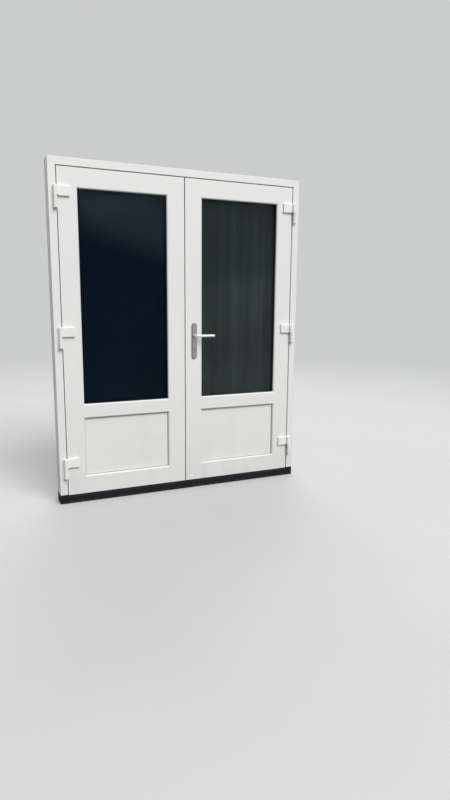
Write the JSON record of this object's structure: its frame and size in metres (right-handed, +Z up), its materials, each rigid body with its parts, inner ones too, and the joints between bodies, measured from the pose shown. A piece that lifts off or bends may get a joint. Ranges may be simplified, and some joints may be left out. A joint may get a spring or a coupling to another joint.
{
  "type": "french doors",
  "caption": "Outward opening part-glazed french doors in their frame, with a low threshold, surface hinges, lever handle and multi-point lock.",
  "frame": {"origin": "middle of the threshold's underside, at half the frame's depth", "axes": "+X to the right seen from outside, +Y into the room, +Z up"},
  "size_m": [1.72, 0.195, 2.14],
  "materials": {
    "white_pvc": "smooth, slightly weathered",
    "white_hinge": "smooth white",
    "threshold_dark": "matt near black",
    "end_block": "matt near black",
    "steel": "galvanised",
    "hardware_steel": "satin",
    "dark_gasket": "matt",
    "light_gasket": "matt",
    "glass": "clear float",
    "spacer": "satin",
    "packer": "plain",
    "plate_metal": "satin grey",
    "lever_metal": "satin, bright"
  },
  "bodies": {
    "frame_set": {"outer_frame": "white_pvc", "threshold": "threshold_dark", "threshold_end_blocks": "end_block", "frame_steel": "steel", "rebate_gasket": "dark_gasket", "head_bolt_keep": "hardware_steel", "threshold_bolt_keep": "hardware_steel", "left_frame_hinge_parts": "white_hinge", "right_frame_hinge_parts": "white_hinge", "hinge_pins": "hardware_steel"},
    "left_leaf": {"left_sash": "white_pvc", "left_sash_steel": "steel", "left_outer_pane": "glass", "left_inner_pane": "glass", "left_pane_spacer": "spacer", "left_panel": "white_pvc", "left_glazing_gaskets": "light_gasket", "left_glazing_beads": "white_pvc", "left_packers": "packer", "left_leaf_hinge_parts": "white_hinge", "left_hinge_covers": "white_hinge", "left_hinge_screws": "hardware_steel", "false_mullion": "white_pvc", "mullion_end_caps": "white_pvc", "centre_keep": "hardware_steel", "hook_keeps": "hardware_steel", "flush_bolt_plates": "hardware_steel"},
    "right_leaf": {"right_sash": "white_pvc", "right_sash_steel": "steel", "right_outer_pane": "glass", "right_inner_pane": "glass", "right_pane_spacer": "spacer", "right_panel": "white_pvc", "right_glazing_gaskets": "light_gasket", "right_glazing_beads": "white_pvc", "right_packers": "packer", "right_leaf_hinge_parts": "white_hinge", "right_hinge_covers": "white_hinge", "right_hinge_screws": "hardware_steel", "meeting_strip": "white_pvc", "meeting_seals": "dark_gasket", "lock_rail": "hardware_steel", "lock_case": "hardware_steel", "hook_cases": "hardware_steel", "cylinder_body": "hardware_steel", "outside_backplate": "plate_metal", "inside_backplate": "plate_metal", "plate_screws": "hardware_steel"},
    "levers": {"outside_lever": "lever_metal", "inside_lever": "lever_metal", "spindle": "hardware_steel", "follower": "hardware_steel"},
    "latch": {"latch": "hardware_steel"},
    "cylinder_plug": {"cylinder_plug": "hardware_steel"},
    "deadbolt": {"deadbolt": "hardware_steel"},
    "upper_hook": {"upper_hook": "hardware_steel"},
    "lower_hook": {"lower_hook": "hardware_steel"},
    "drive_rods": {"drive_rods": "hardware_steel"},
    "upper_flush_bolt": {"upper_flush_bolt": "hardware_steel"},
    "lower_flush_bolt": {"lower_flush_bolt": "hardware_steel"}
  },
  "joints": [
    {"name": "left_leaf_swing", "type": "hinge", "parent": "frame_set", "child": "left_leaf", "pos_m": [-0.822, -0.075, 1], "axis": [0, 0, -1], "range_deg": [0, 105]},
    {"name": "right_leaf_swing", "type": "hinge", "parent": "frame_set", "child": "right_leaf", "pos_m": [0.822, -0.075, 1], "axis": [0, 0, 1], "range_deg": [0, 105]},
    {"name": "lever_turn", "type": "hinge", "parent": "right_leaf", "child": "levers", "pos_m": [0.065, 0, 1.071], "axis": [0, 1, 0], "range_deg": [0, 40], "stiffness_Nm_per_rad": 1.2, "springref_deg": -34.38},
    {"name": "latch_slide", "type": "slide", "parent": "right_leaf", "child": "latch", "axis": [1, 0, 0], "range_m": [0, 0.012]},
    {"name": "key_turn", "type": "hinge", "parent": "right_leaf", "child": "cylinder_plug", "pos_m": [0.065, 0, 0.979], "axis": [0, 1, 0], "range_deg": [0, 360]},
    {"name": "deadbolt_slide", "type": "slide", "parent": "right_leaf", "child": "deadbolt", "axis": [-1, 0, 0], "range_m": [0, 0.014]},
    {"name": "upper_hook_swing", "type": "hinge", "parent": "right_leaf", "child": "upper_hook", "pos_m": [0.01941, -0.01, 1.7185], "axis": [0, -1, 0], "range_deg": [0, 90]},
    {"name": "lower_hook_swing", "type": "hinge", "parent": "right_leaf", "child": "lower_hook", "pos_m": [0.01941, -0.01, 0.425], "axis": [0, -1, 0], "range_deg": [0, 90]},
    {"name": "drive_rods_slide", "type": "slide", "parent": "right_leaf", "child": "drive_rods", "axis": [0, 0, -1], "range_m": [0, 0.015]},
    {"name": "upper_bolt_slide", "type": "slide", "parent": "left_leaf", "child": "upper_flush_bolt", "axis": [0, 0, 1], "range_m": [0, 0.025]},
    {"name": "lower_bolt_slide", "type": "slide", "parent": "left_leaf", "child": "lower_flush_bolt", "axis": [0, 0, -1], "range_m": [0, 0.025]}
  ],
  "couplings": [
    {"joint": "latch_slide", "follows": "lever_turn", "m_per_rad": 0.01718},
    {"joint": "key_turn", "follows": "drive_rods_slide", "rad_per_m": 418.88},
    {"joint": "deadbolt_slide", "follows": "drive_rods_slide", "ratio": 0.93333},
    {"joint": "upper_hook_swing", "follows": "drive_rods_slide", "rad_per_m": 104.72},
    {"joint": "lower_hook_swing", "follows": "drive_rods_slide", "rad_per_m": 104.72}
  ]
}
